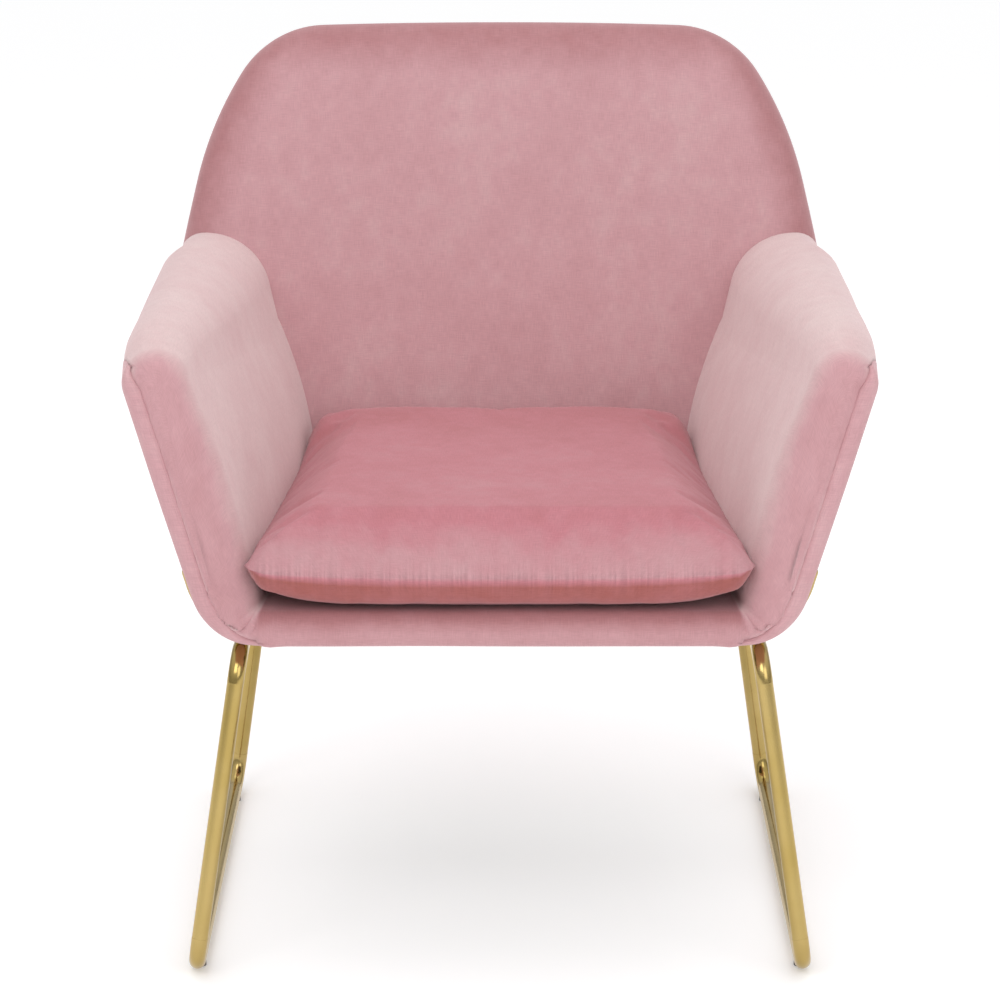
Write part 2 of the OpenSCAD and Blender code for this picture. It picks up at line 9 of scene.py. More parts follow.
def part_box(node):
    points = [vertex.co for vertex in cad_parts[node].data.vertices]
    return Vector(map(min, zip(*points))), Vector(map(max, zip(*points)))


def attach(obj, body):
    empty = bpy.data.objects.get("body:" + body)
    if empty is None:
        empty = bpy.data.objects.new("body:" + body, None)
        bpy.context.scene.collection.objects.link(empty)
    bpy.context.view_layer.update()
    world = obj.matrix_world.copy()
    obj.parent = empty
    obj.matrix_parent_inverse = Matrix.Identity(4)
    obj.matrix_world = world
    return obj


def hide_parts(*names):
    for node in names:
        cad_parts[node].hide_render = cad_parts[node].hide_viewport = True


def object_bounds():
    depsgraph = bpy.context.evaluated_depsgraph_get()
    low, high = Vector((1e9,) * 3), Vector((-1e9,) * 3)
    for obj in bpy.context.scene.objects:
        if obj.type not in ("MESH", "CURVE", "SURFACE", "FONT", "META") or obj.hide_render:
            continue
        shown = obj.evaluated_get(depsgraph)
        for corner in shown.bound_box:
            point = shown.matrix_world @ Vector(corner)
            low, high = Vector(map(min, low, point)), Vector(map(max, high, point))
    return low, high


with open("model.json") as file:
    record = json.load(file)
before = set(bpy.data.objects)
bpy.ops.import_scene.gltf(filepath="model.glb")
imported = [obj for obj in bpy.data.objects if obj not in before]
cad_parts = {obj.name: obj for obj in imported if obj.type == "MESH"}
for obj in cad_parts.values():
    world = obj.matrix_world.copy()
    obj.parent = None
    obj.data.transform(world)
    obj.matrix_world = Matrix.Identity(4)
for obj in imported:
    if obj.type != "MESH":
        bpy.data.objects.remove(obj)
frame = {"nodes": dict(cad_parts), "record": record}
cad_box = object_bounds()

# ---- Places taken from the frame, in metres ----
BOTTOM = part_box("front_rail_cover")[0].z
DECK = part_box("deck_cover")[1].z
TOP = cad_box[1].z
ARM_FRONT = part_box("left_arm_cover")[0].y
CUSHION_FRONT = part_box("cushion_top_cover")[0].y
CUSHION_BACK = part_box("cushion_top_cover")[1].y
CUSHION_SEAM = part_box("cushion_top_cover")[0].z
CUSHION_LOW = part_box("cushion_bottom_cover")[0].z
CUSHION_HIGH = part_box("cushion_top_cover")[1].z

# ---- The shell's shape: a flat bottom, round lower corners and sides that lean outwards ----
LEAN = math.radians(16.6)
SLOPE = math.tan(LEAN)
BOTTOM_HALF = 0.224
CORNER_R = 0.063
CORNER_Z = BOTTOM + CORNER_R
TANGENT_X = BOTTOM_HALF + CORNER_R * math.cos(LEAN)
TANGENT_Z = CORNER_Z - CORNER_R * math.sin(LEAN)
# The backrest's upper outline: a slightly crowned top, a round corner, then a wide arc down each side
CREST = 0.002
TOP_R = 0.105
TOP_HALF = 0.187
TOP_CENTRE_Z = TOP - CREST - TOP_R
SWELL_R = 0.349
SWELL_TURN = math.radians(33)
UPPER_LEAN = math.radians(13.3)
TOP_Z = TOP_CENTRE_Z + TOP_R * math.sin(SWELL_TURN)
SWELL_X = TOP_HALF - (SWELL_R - TOP_R) * math.cos(SWELL_TURN)
SWELL_Z = TOP_CENTRE_Z - (SWELL_R - TOP_R) * math.sin(SWELL_TURN)
SWELL_LOW = SWELL_Z + SWELL_R * math.sin(UPPER_LEAN)
WAIST_SOFTNESS = 0.009
# The backrest's depth: its front is at BACK_FRONT at the height BACK_AT, and its edge is rolled
BACK_FRONT = 0.161
BACK_AT = 0.440
BACK_R = 0.0325
BACK_SLOPE = 0.31
LEAN_STRETCH = 1.045  # length along the leaning backrest for each metre of height
BACK_WRAP = 0.020
SHOULDER = 0.345
NOTCH_Z = 0.590  # the side cover ends here, and the inner back's border begins
SEAM_BEHIND = math.radians(35)
REAR = 0.5  # any y behind the chair
CLOTH_T = 0.0012

# ---- The arms: the seat is SEAT_HALF wide each side at the height SEAT_AT ----
INNER_SLOPE = 0.27
INNER_LEAN = math.atan(INNER_SLOPE)
SEAT_HALF = 0.238
SEAT_AT = 0.400
TOE_IN = 0.08
ARM_R = 0.028
ARM_TOP = 0.622
FRONT_DROP = 0.014
DROP_REACH = 0.050
# The seam down the arm's front: its distance from the outline at the top and further down
SEAM_START = 0.002
SEAM_INSET = 0.0145
SEAM_END = 0.004
FRONT_SEAM_TURN = math.radians(36)
SIDE_SEAM_TURN = math.radians(-4)
SEAM_TURN_REACH = 0.060
# Radii of the front edge, from the top of the arm to the rail
TOP_ROLL = 0.021
ARCH_ROLL = 0.025
FRONT_ROLL = 0.034
RAIL_ROLL = 0.012
FRONT_LOW = 0.530
RAIL_EDGE = 0.010
INNER_CORNER_R = 0.007
LAP = 0.004
SIDE_LAP = 0.8  # radius of the side cover's front edge, as a share of the seam's distance
SIDE_END = math.radians(20)  # where the side cover starts to follow the backrest's rolled edge

# ---- The cushion ----
CUSHION_GAP = 0.003
CUSHION_R = 0.026
PRESSURE = 2.0
SLACK = 0.015
SIM_FRAMES = 16
SWELL_CAP = 0.006
LOWER_SWELL = 0.3
PUCKER = 0.0013
PUCKER_PITCH = 0.005


# ---- Shapes of the shell ----
def smooth(t):
    t = np.clip(t, 0, 1)
    return t * t * (3 - 2 * t)


def smooth_min(a, b):
    return (a + b - math.sqrt((a - b) ** 2 + WAIST_SOFTNESS ** 2)) / 2


def lower_half(z):
    """Half width of the shell below the waist."""
    if z < TANGENT_Z:
        return BOTTOM_HALF + math.sqrt(max(0, CORNER_R ** 2 - (CORNER_Z - z) ** 2))
    return TANGENT_X + SLOPE * (z - TANGENT_Z)


def upper_half(z):
    """Half width of the backrest above the waist."""
    if z > TOP_Z:
        return TOP_HALF + math.sqrt(max(0, TOP_R ** 2 - (z - TOP_CENTRE_Z) ** 2))
    if z > SWELL_LOW:
        return SWELL_X + math.sqrt(SWELL_R ** 2 - (z - SWELL_Z) ** 2)
    return SWELL_X + SWELL_R * math.cos(UPPER_LEAN) + math.tan(UPPER_LEAN) * (SWELL_LOW - z)


def back_half(z):
    if z < TANGENT_Z:
        return lower_half(z)
    return upper_half(z) if z > TOP_Z else smooth_min(lower_half(z), upper_half(z))


def back_mid(x, z):
    """The y of the backrest's middle layer, which leans back and wraps forward at its sides."""
    return BACK_FRONT + BACK_R + BACK_SLOPE * (z - BACK_AT) - BACK_WRAP * (x / SHOULDER) ** 2


def back_face(x, z):
    """The front of the backrest, which curves back to its middle line at the outline."""
    inside = (back_half(z) - x) * math.cos(LEAN)
    out = min(1.0, max(0.0, 1 - inside / BACK_R))
    return back_mid(x, z) - BACK_R * math.sqrt(1 - out * out)


# ---- Meshes ----
def put_mesh(name, points, faces, body="chair"):
    mesh = bpy.data.meshes.new(name)
    mesh.from_pydata([tuple(p) for p in points], [], faces)
    mesh.polygons.foreach_set("use_smooth", [True] * len(mesh.polygons))
    piece = bpy.data.objects.new(name, mesh)
    bpy.context.scene.collection.objects.link(piece)
    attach(piece, body)
    return piece


def grid_faces(rows, cols, start=0):
    corners = [start + j * cols + i for j in range(rows - 1) for i in range(cols - 1)]
    return [(c, c + 1, c + cols + 1, c + cols) for c in corners]


def normals_of(grid):
    along, across = np.gradient(grid, axis=0), np.gradient(grid, axis=1)
    n = np.cross(across, along)
    return n / np.maximum(np.linalg.norm(n, axis=2, keepdims=True), 1e-9)


def rows_of(steps, ks, point):
    """A row of points for each step, with a point for each k."""
    return [[point(step, k) for k in ks] for step in steps]


def shares(n):
    """1/n, 2/n and so on to 1."""
    return [i / n for i in range(1, n + 1)]


def set_cloth_uv(piece, uv):
    """Lengths along the cloth, in metres, which the weave follows."""
    layer = piece.data.uv_layers.new(name="cloth")
    index = np.zeros(len(piece.data.loops), int)
    piece.data.loops.foreach_get("vertex_index", index)
    layer.data.foreach_set("uv", uv[index].astype(np.float32).ravel())


def cloth_lengths(grid):
    """Distances along the rows, from their middle, and along the columns."""
    across = np.linalg.norm(np.diff(grid, axis=1), axis=2)
    along = np.linalg.norm(np.diff(grid, axis=0), axis=2)
    u = np.concatenate([np.zeros((grid.shape[0], 1)), np.cumsum(across, axis=1)], axis=1)
    u -= u[:, grid.shape[1] // 2][:, None]
    v = np.concatenate([np.zeros((1, grid.shape[1])), np.cumsum(along, axis=0)], axis=0)
    return np.stack([u, v], axis=2).reshape(-1, 2)


def set_values(piece, name, values):
    layer = piece.data.attributes.new(name, "FLOAT", "POINT")
    layer.data.foreach_set("value", np.asarray(values, np.float32).ravel())


def set_painted_light(piece, values):
    """Painted light and shade in the cloth's colour: -1 paler for painted sheen, 0 plain, 1 deeper for
    painted shade.
    """
    set_values(piece, "painted_light", values)


def thicken(piece):
    cloth = piece.modifiers.new("cloth", "SOLIDIFY")
    cloth.thickness = CLOTH_T
    cloth.offset = -1


def cloth_piece(name, grid, flip=False):
    rows, cols = grid.shape[:2]
    faces = grid_faces(rows, cols)
    if flip:
        faces = [f[::-1] for f in faces]
    piece = put_mesh(name, grid.reshape(-1, 3), faces)
    set_cloth_uv(piece, cloth_lengths(grid))
    thicken(piece)
    return piece


def settle(grid, amount, size, seed=0.0):
    """Slight unevenness of cloth pulled over foam."""
    n = normals_of(grid)
    for j in range(grid.shape[0]):
        for i in range(grid.shape[1]):
            p = Vector(grid[j, i]) / size + Vector((seed, seed * 1.7, 0))
            grid[j, i] += n[j, i] * amount * noise.noise(p)
    return grid


# ---- Arms and seat front: one cover from seam to seam ----
def arm_top(y):
    """The top of the arm, which rounds down at its front end."""
    return ARM_TOP - FRONT_DROP * math.exp(-((y - ARM_FRONT) / DROP_REACH) ** 2)


def inner_x(y, z):
    """Half width between the arms."""
    return SEAT_HALF + INNER_SLOPE * (z - SEAT_AT) - TOE_IN * (y - ARM_FRONT)


def side_x(y, z):
    """Half width of the shell's side, drawn in to the backrest's outline near it."""
    start, reach = back_mid(0.33, z) - 0.115, 0.085
    near = float(smooth((y - start) / reach))
    return lower_half(z) + near * (back_half(z) - lower_half(z))


def outer_roll(y):
    """Centre of the arm's outer top edge."""
    z = arm_top(y) - ARM_R
    return side_x(y, z) - ARM_R / math.cos(LEAN), z


def inner_roll(y):
    """Centre and radius of the inner top edge, an arch that widens towards the back."""
    x = outer_roll(y)[0]
    r = (x - inner_x(y, arm_top(y))) / (1 / math.cos(INNER_LEAN) - INNER_SLOPE)
    return x, arm_top(y) - r, r


def seam_turn(y):
    """Where the arm's seam lies on the outer edge: it drops to the side just behind the front."""
    back = float(smooth((y - ARM_FRONT - 0.012) / SEAM_TURN_REACH))
    return FRONT_SEAM_TURN + (SIDE_SEAM_TURN - FRONT_SEAM_TURN) * back


def seam_y(depth):
    """A seam near the outline lies on the rolled edge, so it is set back from the front face."""
    out = max(0.0, 1 - depth / TOP_ROLL)
    return TOP_ROLL * (1 - math.sqrt(1 - out * out))


def arc(cx, cz, r, a):
    return cx + r * math.cos(a), cz + r * math.sin(a)


def inner_bulge(y, t):
    """How far the arm's foam swells towards the seat at share t of its inner face."""
    full = 0.55 + 0.45 * float(smooth((y - ARM_FRONT) / 0.20))
    return 0.009 * full * math.sin(math.pi * t) ** 0.8


def inner_point(k, y, d=0.0):
    """Section of the arm's top and inner face and of the deck: k runs 0 to 6, d is drawn in."""
    x, z, r = inner_roll(y)
    face_top = z - r * math.sin(INNER_LEAN)
    cz = DECK + INNER_CORNER_R
    cx = inner_x(y, cz) - INNER_CORNER_R / math.cos(INNER_LEAN)
    if k < 1:
        outer, low = outer_roll(y)
        turn = seam_turn(y)
        return arc(outer, low, ARM_R - d, turn + (math.pi / 2 - turn) * k)
    if k < 3:
        return arc(x, z, r - d, math.pi / 2 + (math.pi / 2 - INNER_LEAN) * (k - 1) / 2)
    if k < 4:
        low = cz - INNER_CORNER_R * math.sin(INNER_LEAN)
        h = face_top + (low - face_top) * (k - 3)
        return inner_x(y, h) + (d - inner_bulge(y, k - 3)) / math.cos(INNER_LEAN), h
    if k < 5:
        a = -INNER_LEAN - (math.pi / 2 - INNER_LEAN) * (k - 4)
        return arc(cx, cz, INNER_CORNER_R + d, a)
    return cx * (6 - k), DECK - d


def seam_depth(k):
    """How far the seam lies inside the outline."""
    if k < 2:
        return SEAM_START + (SEAM_INSET - SEAM_START) * float(smooth(k / 2)) ** 0.7
    if k < 5:
        return SEAM_INSET + (SEAM_END - SEAM_INSET) * float(smooth(k - 4))
    return RAIL_EDGE


def corner_point(a, d):
    """A point d inside the round lower corner, with a measured from straight down."""
    return BOTTOM_HALF + (CORNER_R - d) * math.sin(a), CORNER_Z - (CORNER_R - d) * math.cos(a)


def side_point(z, d):
    """A point d inside the leaning side."""
    return lower_half(z) - d / math.cos(LEAN), z


def seam_point(k):
    """The seam on the front face, then the start of the rolled bottom edge: k as in inner_point."""
    y, d = ARM_FRONT, seam_depth(k)
    outer, z = outer_roll(y)
    top = z - ARM_R * math.sin(LEAN)
    corner, first = math.pi / 2 - LEAN, math.radians(20)
    if k < 2:
        turn = seam_turn(y)
        return arc(outer, z, ARM_R - d, turn + (-LEAN - turn) * k / 2)
    if k < 3:
        return side_point(top + (FRONT_LOW - top) * (k - 2), d)
    if k < 3.8:
        return side_point(FRONT_LOW + (TANGENT_Z - FRONT_LOW) * (k - 3) * 1.25, d)
    if k < 4:
        return corner_point(corner - first * ((k - 3) * 1.25 - 1) / 0.25, d)
    if k < 5:
        return corner_point((corner - first) * (5 - k), d)
    blend = float(smooth((k - 5) / 0.12))
    return BOTTOM_HALF * (6 - k), BOTTOM + SEAM_END + (RAIL_EDGE - SEAM_END) * blend


def half_samples():
    """Values of k from the seam on the arm to the middle of the chair, closest where it curves."""
    counts = (8, 8, 14, 44, 22, 44)
    return [s + i / n for s, n in enumerate(counts) for i in range(n)] + [6.0]


def edge_roll(k):
    """Radius of the front edge: small on top of the arm, large down its inner side, small on the rail."""
    arm = TOP_ROLL + (ARCH_ROLL - TOP_ROLL) * float(smooth((k - 0.8) / 1.5))
    arm += (FRONT_ROLL - ARCH_ROLL) * float(smooth((k - 3) / 0.4))
    return arm + (RAIL_ROLL - arm) * float(smooth((k - 3.7) / 1.3))


def first_turn(k):
    """Where the rolled edge begins: at the seam, if that lies on the edge itself."""
    if k > 1:
        return 0.0
    start = math.asin(max(0.0, 1 - seam_depth(k) / edge_roll(k)))
    return start * (1 - float(smooth(k)))


def crease(k, share):
    """Folds that fan out from the corner between arm and rail, in metres inwards."""
    depth, corner, folds = 0.0034, 4.5, 3.4
    fan = math.exp(-((k - corner) / 0.42) ** 2)
    waves = 0.5 - 0.5 * math.cos(2 * math.pi * (k - corner) * folds + math.pi)
    return depth * fan * waves ** 1.5 * math.exp(-((share - 0.95) / 0.42) ** 2)


def rail_share(k):
    """0 on the arm, 1 on the front rail."""
    return float(smooth((k - 4.93) / 0.12))


def hem_point(step, k):
    """The cloth behind the seam on the arm, and the rolled hem under the rail."""
    turn, reach = step
    x, z = seam_point(k)
    rail = rail_share(k)
    r = min(seam_depth(k), z - BOTTOM) if rail > 0 else SEAM_END
    a = max(0.0, turn) * math.pi / 2
    wrapped = (x, ARM_FRONT + r * (1 - math.sin(a)) + reach, BOTTOM + r * (1 - math.cos(a)))
    depth = 0.0025 + 0.010 * (1 - max(0.0, turn)) + reach * 0.2
    tucked = (x, ARM_FRONT + depth + seam_y(seam_depth(k)) * (k < 5), z)
    return [p * (1 - rail) + q * rail for p, q in zip(tucked, wrapped)]


def face_point(share, k):
    """The front face, from the seam to the start of the rolled edge, slightly puffed."""
    x0, z0 = seam_point(k)
    turn, e, rail = first_turn(k), edge_roll(k), rail_share(k)
    x1, z1 = inner_point(k, ARM_FRONT, e * (1 - math.sin(turn)))
    width = math.hypot(x1 - x0, z1 - z0)
    rise = 0.0030
    puff = -rise * math.sin(math.pi * share) * min(1, width / 0.03)
    valley = 0.0012 * math.exp(-share * width / 0.0025) * (1 - rail)
    ease = (1 - share) ** 2
    back = (seam_y(seam_depth(k)) * ease + e * (1 - math.cos(turn)) * (1 - ease)) * (1 - rail)
    y = ARM_FRONT + rise * (1 - share) * (1 - rail) + puff + valley + back + crease(k, share)
    return [x0 + (x1 - x0) * share, y, z0 + (z1 - z0) * share]


def front_edge_point(share, k):
    """The rolled edge between the front face and the arm's top, its inner face and the deck."""
    e, first = edge_roll(k), first_turn(k)
    a = first + (math.pi / 2 - first) * share
    y = ARM_FRONT + e * (1 - math.cos(a))
    x, z = inner_point(k, y, e * (1 - math.sin(a)))
    return [x, y + crease(k, 1.0) * (1 - math.sin(a)), z]


def inner_length_point(share, k):
    """The arm's top, its inner face and the deck, from the front edge to the backrest."""
    start, end = ARM_FRONT + edge_roll(k), 0.15
    for _ in range(3):  # refines the first guess of the end
        end = back_face(*inner_point(k, end)) + LAP
    y = start + (end - start) * share
    x, z = inner_point(k, y)
    return [x, y, z]


def inner_cover_rows():
    ks = half_samples()
    hem = [(-1.0, 0.030), (-1.0, 0.018)] + [(i / 6, 0.0) for i in range(6)]
    rows = rows_of(hem, ks, hem_point)
    rows += rows_of([0] + shares(16), ks, face_point)
    rows += rows_of(shares(9), ks, front_edge_point)
    rows += rows_of(shares(56), ks, inner_length_point)
    return np.array(rows)


def seam_puckers(grid, row, reach, amount, cols=1.0):
    """Ripples that run away from the seam at one row of the grid and die out over reach."""
    pitch = 0.007
    n = normals_of(grid)
    along = np.concatenate([[0], np.cumsum(np.linalg.norm(np.diff(grid[row], axis=0), axis=1))])
    ripple = np.array([noise.noise(Vector((s / pitch, 0.5, row))) for s in along])
    fine = np.array([noise.noise(Vector((s / pitch * 2.3, 7.5, row))) for s in along])
    away = np.zeros(grid.shape[:2])
    for j in range(row + 1, grid.shape[0]):
        away[j] = away[j - 1] + np.linalg.norm(grid[j] - grid[j - 1], axis=1)
    fade = np.exp(-away / reach) * cols
    fade[:row] = 0
    return grid + n * (amount * (ripple + 0.5 * fine)[None, :] * fade)[:, :, None]


def mirrored(half):
    """A half grid from the +X seam to the middle, with its mirror image."""
    other = half[:, -2::-1] * np.array([-1, 1, 1])
    return np.concatenate([half, other], axis=1)


def front_painted_light(grid, ks):
    """Painted sheen, pale, down the arm's top and inner face; painted shade, a little deeper, on the
    faces that look forward, and deep on the rail just under the cushion.
    """
    n = normals_of(grid)
    forward = np.clip(np.abs(n[:, :, 1]) * 1.3 - 0.15, 0, 1)
    rail = np.array([float(smooth((k - 4.6) / 0.4)) for k in ks])[None, :]
    # Painted shade where the cushion overhangs the rail's top.
    shaded = rail * smooth((grid[:, :, 2] - DECK + 0.024) / 0.026) ** 1.5
    shaded = shaded * (1 - smooth((grid[:, :, 1] - ARM_FRONT - 0.030) / 0.040))
    return -0.85 * (1 - forward) * (1 - rail) + (0.18 + 0.12 * rail) * forward + 0.95 * shaded


def inner_cover():
    grid = mirrored(inner_cover_rows())
    ks = half_samples()
    both = ks + ks[-2::-1]
    arm = np.array([1 - float(smooth((k - 4.6) / 0.5)) for k in both])
    seam_row = 8
    grid = seam_puckers(grid, seam_row, 0.010, 0.0007, arm)
    grid = settle(grid, 0.0008, 0.10)
    piece = cloth_piece("inner_cover", grid)
    set_painted_light(piece, front_painted_light(grid, both))
    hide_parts("left_arm_cover", "right_arm_cover", "left_arm_foam", "right_arm_foam",
                "front_rail_cover", "front_rail_pad", "deck_cover", "deck_pad")
    return piece


# ---- Sides ----
def outer_point(k, y, d=0.0):
    """Section of the shell's side from the seam on the arm down to the hem: k runs 0 to 4."""
    outer, z = outer_roll(y)
    if k < 1:
        turn = seam_turn(y)
        return arc(outer, z, ARM_R - d, turn - (turn + LEAN) * k)
    if k < 2:
        top = z - ARM_R * math.sin(LEAN)
        h = top + (TANGENT_Z - top) * (k - 1)
        return side_x(y, h) - d / math.cos(LEAN), h
    if k < 3:
        return corner_point((math.pi / 2 - LEAN) * (3 - k), d)
    under = 0.020
    return BOTTOM_HALF - under * (k - 3), BOTTOM + d


def side_seam_depth(k):
    if k < 1:
        return seam_depth(2 * k)
    return SEAM_INSET + (SEAM_END - SEAM_INSET) * float(smooth((k - 2.27) / 0.73))


def side_tuck_point(tuck, k):
    """The cloth that is turned in behind the seam."""
    x, z = outer_point(k, ARM_FRONT, side_seam_depth(k))
    return [x, ARM_FRONT + tuck + seam_y(side_seam_depth(k)), z]


def side_strip_point(share, k):
    """The narrow strip of the front face outside the seam."""
    depth = side_seam_depth(k)
    d = depth + (SIDE_LAP - 1) * depth * share
    x, z = outer_point(k, ARM_FRONT, d)
    return [x, ARM_FRONT + seam_y(depth) + 0.0018 * math.exp(-(depth - d) / 0.0020), z]


def side_edge_point(share, k):
    """The rolled edge between that strip and the side."""
    a, e = math.pi / 2 * share, SIDE_LAP * side_seam_depth(k)
    y = ARM_FRONT + seam_y(side_seam_depth(k)) + e * (1 - math.cos(a))
    x, z = outer_point(k, y, e * (1 - math.sin(a)))
    return [x, y, z]


def side_length_point(share, k):
    """The side, from the front edge to the backrest's rolled edge."""
    start = ARM_FRONT + seam_y(side_seam_depth(k)) + SIDE_LAP * side_seam_depth(k)
    end = 0.16
    for _ in range(3):  # refines the first guess of the end
        x, z = outer_point(k, start + (end - start) * share)
        end = back_mid(x, z) - BACK_R * math.sin(SIDE_END)
    y = start + (end - start) * share
    x, z = outer_point(k, y)
    return [x, y, z]


def side_wrap_point(share, k):
    """The backrest's rolled edge, with the part above the notch kept under the inner back."""
    a = SIDE_END - (SIDE_END + SEAM_BEHIND) * share
    x, z = outer_point(k, REAR)
    y = back_mid(x, z) - BACK_R * math.sin(a)
    hide = 0.006 * float(smooth((z - NOTCH_Z + 0.004) / 0.012))
    x, z = outer_point(k, y, BACK_R * (1 - math.cos(a)) + hide)
    return [x, y, z]


def side_end_point(inward, k):
    """The cloth that is turned in at the rear seam."""
    x, z = outer_point(k, REAR)
    y = back_mid(x, z) + BACK_R * math.sin(SEAM_BEHIND)
    x, z = outer_point(k, y, BACK_R * (1 - math.cos(SEAM_BEHIND)) + inward)
    return [x, y - 0.002, z]


def side_rows():
    counts = (14, 40, 18, 4)
    ks = [s + i / n for s, n in enumerate(counts) for i in range(n)] + [4.0]
    rows = rows_of((0.012, 0.008, 0.005), ks, side_tuck_point)
    rows += rows_of([0] + shares(5), ks, side_strip_point)
    rows += rows_of(shares(8), ks, side_edge_point)
    rows += rows_of(shares(60), ks, side_length_point)
    rows += rows_of(shares(9), ks, side_wrap_point)
    rows += rows_of((0.009,), ks, side_end_point)
    return np.array(rows)


def side_cover(name, sign):
    """The outer side of the shell, a little swollen between its edges; sign is 1 for +X."""
    grid = side_rows()
    n = normals_of(grid)
    t = np.linspace(0, 1, grid.shape[0])[:, None]
    along = 0.0035 * np.sin(np.pi * np.clip((t - 0.12) / 0.80, 0, 1)) ** 0.8
    across = np.sin(np.pi * np.linspace(0, 1, grid.shape[1]))[None, :] ** 0.8
    outwards = 1.0 if n[grid.shape[0] // 2, grid.shape[1] // 2, 0] > 0 else -1.0
    grid = grid + n * (along * across)[:, :, None] * outwards
    seam_row = 3
    grid = seam_puckers(grid, seam_row, 0.008, 0.0005)
    grid = settle(grid, 0.0007, 0.11, 3.0 + sign)
    grid = grid * np.array([sign, 1, 1])
    piece = cloth_piece(name, grid, flip=sign > 0)
    set_painted_light(piece, np.zeros(grid.shape[:2]))
    return piece


# ---- Backrest ----
def outline_side(n):
    """One side of the backrest from the bottom line to the middle of its upper corner."""
    corner = [corner_point(a, 0) for a in np.arange(10) * math.pi / 20 if a < math.pi / 2 - LEAN]
    side = [(back_half(z), z) for z in np.linspace(TANGENT_Z, TOP_Z, 60)]
    top = [(TOP_HALF + TOP_R * math.cos(a), TOP_CENTRE_Z + TOP_R * math.sin(a))
           for a in np.linspace(SWELL_TURN, math.pi / 4, 6)[1:]]
    return resample(np.array(corner + side + top), n)


def outline_top(n):
    corner = [(TOP_HALF + TOP_R * math.cos(a), TOP_CENTRE_Z + TOP_R * math.sin(a))
              for a in np.linspace(math.pi / 4, math.pi / 2, 14)]
    top = [(x, TOP - CREST * (x / TOP_HALF) ** 2) for x in np.linspace(TOP_HALF, 0, 30)[1:]]
    half = np.array(corner + top)
    other = half[-2::-1] * np.array([-1, 1])
    return resample(np.concatenate([half, other]), n)


def resample(points, n):
    """The same line with n points at equal distances."""
    step = np.linalg.norm(np.diff(points, axis=0), axis=1)
    length = np.concatenate([[0], np.cumsum(step)])
    at = np.linspace(0, length[-1], n)
    return np.stack([np.interp(at, length, points[:, i]) for i in range(2)], axis=1)


def inward_normals(points):
    """Normals of the outline, smoothed where its stretches meet."""
    along = np.gradient(points, axis=0)
    along /= np.linalg.norm(along, axis=1, keepdims=True)
    for _ in range(3):
        along[1:-1] = (along[:-2] + 2 * along[1:-1] + along[2:]) / 4
        along /= np.linalg.norm(along, axis=1, keepdims=True)
    return np.stack([-along[:, 1], along[:, 0]], axis=1)


def coons(bottom, top, left, right):
    """A grid of rows between four edges that share their ends, each in two dimensions."""
    s = np.linspace(0, 1, len(bottom))[None, :, None]
    t = np.linspace(0, 1, len(left))[:, None, None]
    ruled = (1 - t) * bottom[None] + t * top[None] + (1 - s) * left[:, None] + s * right[:, None]
    return ruled - ((1 - s) * (1 - t) * bottom[0] + s * (1 - t) * bottom[-1]
                    + (1 - s) * t * top[0] + s * t * top[-1])


SIDE_N, TOP_N, BAND_N = 90, 84, 15  # points along each side, the top and across the border


def crown_at(x, z, amount):
    """Swell of the padding, which is level where the rolled border ends."""
    across = np.clip(1 - (np.abs(x) / (np.vectorize(back_half)(z) - BACK_R)) ** 2, 0, 1)
    up = np.clip((TOP - BACK_R - z) / 0.25, 0, 1) * np.clip((z - BOTTOM) / 0.2, 0, 1)
    return amount * smooth(across * 1.3) * smooth(up)


def back_outline(low_z):
    """The outline from the bottom of the +X side over the top to the bottom of the -X side."""
    right = outline_side(SIDE_N)
    right = resample(right[np.argmax(right[:, 1] >= low_z - 1e-9):], SIDE_N)
    left = right[::-1] * np.array([-1, 1])
    return np.concatenate([right, outline_top(TOP_N)[1:], left[1:]])


def back_band(line, facing, angles, hidden):
    """The rolled border, drawn in by hidden where the side cover lies over it."""
    inward = inward_normals(line)
    hide = hidden * smooth((NOTCH_Z + 0.004 - line[:, 1]) / 0.014)
    band = []
    for a in angles:
        p = line + inward * (BACK_R * (1 - math.cos(a)) + hide)[:, None]
        y = back_mid(p[:, 0], p[:, 1]) + facing * BACK_R * math.sin(a)
        band.append(np.stack([p[:, 0], y, p[:, 1]], axis=1))
    return np.array(band)


def back_shape(facing, angles, crown, low_z, hidden=0.0):
    """A rolled border round the sides and top, and the panel inside it, facing -1 front or 1 rear."""
    band = back_band(back_outline(low_z), facing, angles, hidden)
    edge = band[-1][:, [0, 2]]
    e_right, e_top = edge[:SIDE_N], edge[SIDE_N - 1:SIDE_N + TOP_N - 1]
    e_left = edge[SIDE_N + TOP_N - 2:][::-1]
    bottom = np.linspace(e_right[0], e_left[0], TOP_N)
    panel = coons(bottom, e_top, e_right, e_left)
    x, z = panel[:, :, 0], panel[:, :, 1]
    y = back_mid(x, z) + facing * (BACK_R + crown_at(x, z, crown))
    return band, np.stack([x, y, z], axis=2)


def join_back(name, band, panel, hem, flip):
    """One mesh: the band's last row is the panel's right, top and left edges, and the hem is below."""
    rows, cols = band.shape[:2]
    h, w = panel.shape[:2]
    last = (rows - 1) * cols
    points, faces = list(band.reshape(-1, 3)), grid_faces(rows, cols)
    ids = np.zeros((h, w), int)
    ids[:, 0] = last + np.arange(h)
    ids[:, -1] = last + cols - 1 - np.arange(h)
    ids[-1] = last + h - 1 + np.arange(w)
    ids[:-1, 1:-1] = len(points) + np.arange((h - 1) * (w - 2)).reshape(h - 1, w - 2)
    points.extend(panel[:-1, 1:-1].reshape(-1, 3))
    faces.extend((ids[j + 1, i], ids[j + 1, i + 1], ids[j, i + 1], ids[j, i])
                 for j in range(h - 1) for i in range(w - 1))
    add_rows(points, faces, list(ids[0]), hem[1:])
    if flip:
        faces = [f[::-1] for f in faces]
    points = np.array(points)
    piece = put_mesh(name, points, faces)
    set_cloth_uv(piece, np.stack([points[:, 0], points[:, 2] * LEAN_STRETCH], axis=1))
    thicken(piece)
    return piece, points


